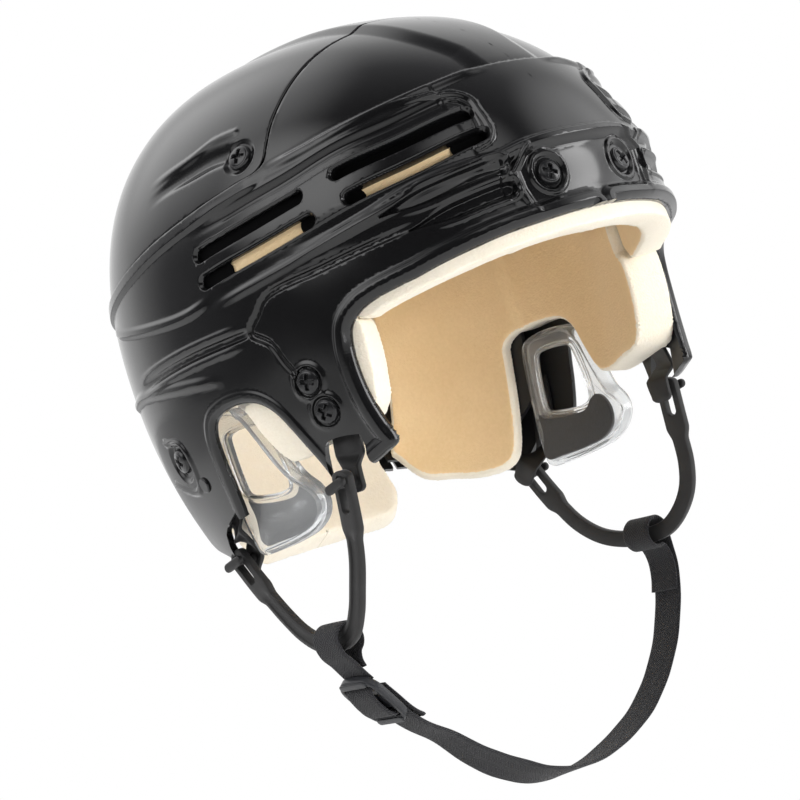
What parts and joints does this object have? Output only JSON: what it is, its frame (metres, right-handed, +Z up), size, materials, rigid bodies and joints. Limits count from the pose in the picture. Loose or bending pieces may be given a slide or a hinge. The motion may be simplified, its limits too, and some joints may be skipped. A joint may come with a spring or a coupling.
{
  "type": "ice hockey helmet",
  "caption": "Two-piece open-face ice hockey helmet with foam liners, clear ear guards, chin strap loops and a sliding rear shell for size adjustment.",
  "frame": {"origin": "middle of the head opening, level with the lower ear area, at the mount head_cavity", "axes": "+X to the wearer's left, +Y to the back of the head, +Z up"},
  "size_m": [0.2128, 0.2492, 0.3176],
  "materials": {
    "shell_plastic": "high gloss moulded shell",
    "liner_foam": "smooth tan closed-cell foam",
    "brow_foam": "cream closed-cell foam",
    "felt": "black felt",
    "guard_plastic": "clear moulded plastic",
    "tab_plastic": "satin moulded plastic",
    "loop_rubber": "soft moulded rubber",
    "webbing": "twill webbing",
    "buckle_plastic": "satin moulded plastic",
    "screw_black": "black oxide, polished",
    "nut_steel": "brushed"
  },
  "bodies": {
    "front_body": {"front_shell": "shell_plastic", "liner_forehead": "brow_foam", "liner_side_left": "liner_foam", "liner_side_right": "liner_foam", "liner_crown_front": "liner_foam", "ear_guard_left": "guard_plastic", "ear_guard_right": "guard_plastic", "ear_felt_left": "felt", "ear_felt_right": "felt", "strap_tab_front_left": "tab_plastic", "strap_tab_front_right": "tab_plastic", "strap_tab_rear_left": "tab_plastic", "strap_tab_rear_right": "tab_plastic", "front_screws": "screw_black", "temple_screws": "screw_black", "lower_adjust_screws": "screw_black", "front_screw_nuts": "nut_steel", "temple_nuts": "nut_steel", "lower_adjust_nuts": "nut_steel", "tab_rivets": "nut_steel"},
    "rear_body": {"rear_shell": "shell_plastic", "liner_crown_rear": "liner_foam", "liner_occipital": "liner_foam", "upper_adjust_screws": "screw_black", "upper_adjust_nuts": "nut_steel"},
    "loop_right": {"chin_loop_right": "loop_rubber"},
    "loop_left": {"chin_loop_left": "loop_rubber"},
    "strap": {"chin_strap": "webbing", "strap_anchor": "webbing", "strap_buckle": "buckle_plastic", "strap_tail": "webbing"}
  },
  "joints": [
    {"name": "size_adjust", "type": "slide", "parent": "front_body", "child": "rear_body", "axis": [0, 1, 0], "range_m": [0, 0.008]},
    {"name": "loop_right_swing", "type": "hinge", "parent": "front_body", "child": "loop_right", "pos_m": [-0.0952, -0.0408, 0], "axis": [0.1041, 0.9681, -0.228], "range_deg": [-15, 15]},
    {"name": "loop_left_swing", "type": "hinge", "parent": "front_body", "child": "loop_left", "pos_m": [0.0952, -0.0408, 0], "axis": [-0.1041, 0.9681, -0.228], "range_deg": [-15, 15]},
    {"name": "strap_swing", "type": "hinge", "parent": "loop_right", "child": "strap", "pos_m": [-0.09178, -0.009, -0.0576], "axis": [0.1041, 0.9681, -0.228], "range_deg": [-15, 15]}
  ],
  "couplings": [
    {"joint": "loop_left_swing", "follows": "loop_right_swing", "ratio": 1},
    {"joint": "strap_swing", "follows": "loop_right_swing", "ratio": -1}
  ]
}
